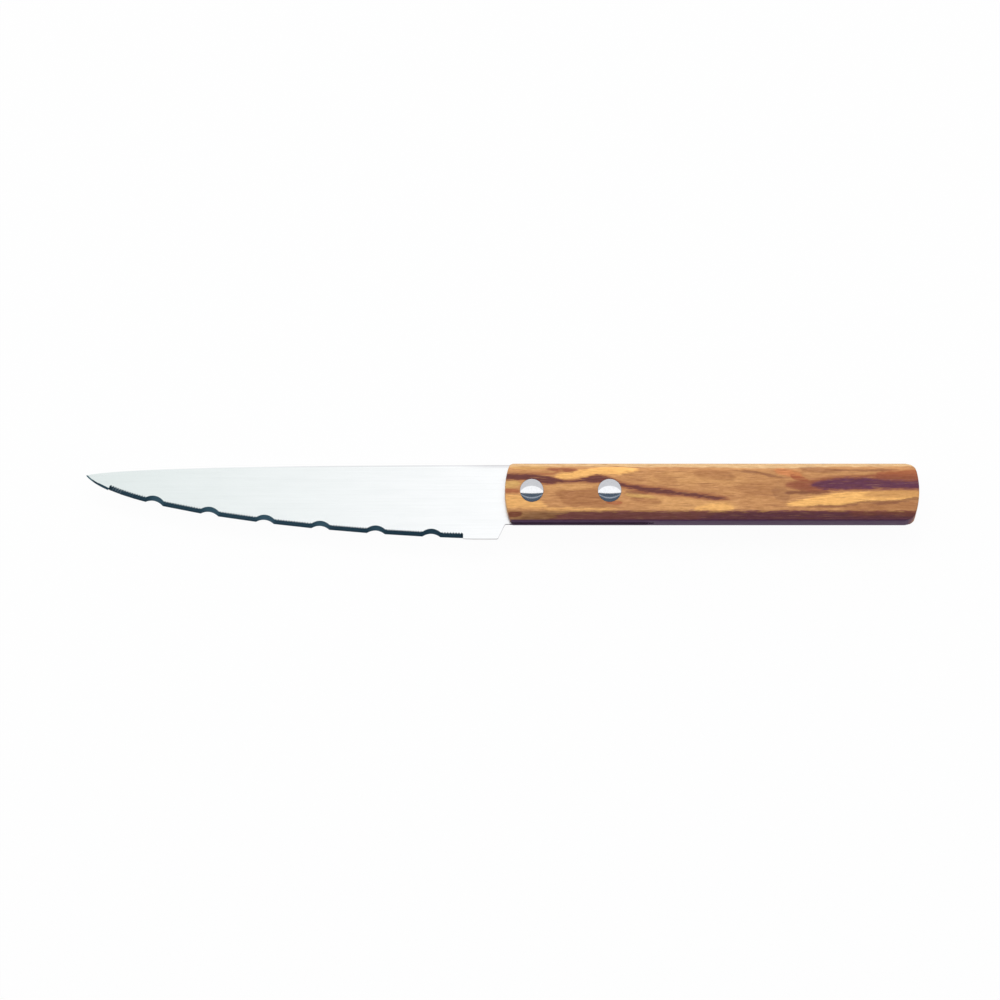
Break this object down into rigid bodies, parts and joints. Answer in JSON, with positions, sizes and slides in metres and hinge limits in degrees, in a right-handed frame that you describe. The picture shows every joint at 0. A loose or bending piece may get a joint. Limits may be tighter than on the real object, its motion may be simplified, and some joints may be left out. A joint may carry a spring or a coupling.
{
  "type": "steak knife",
  "caption": "Serrated steak knife with a scalloped steel blade, a half tang and a faceted one-piece olive wood handle held by domed rivets.",
  "frame": {"origin": "bottom centre of the whole knife's box as it lies on its side, level with the tops of the lower rivet domes", "axes": "+X from the tip toward the butt of the handle, +Y toward the spine, +Z out of the side that the edge is ground on"},
  "size_m": [0.2186, 0.0196, 0.0151],
  "materials": {
    "blade_steel": "fine satin polish",
    "olive_wood": "oiled, smooth, with dark veins",
    "rivet_steel": "polished"
  },
  "bodies": {
    "root": {"blade": "blade_steel", "handle": "olive_wood", "front_rivet_pin": "rivet_steel", "front_rivet_sleeve": "rivet_steel", "rear_rivet_pin": "rivet_steel", "rear_rivet_sleeve": "rivet_steel"}
  },
  "joints": []
}
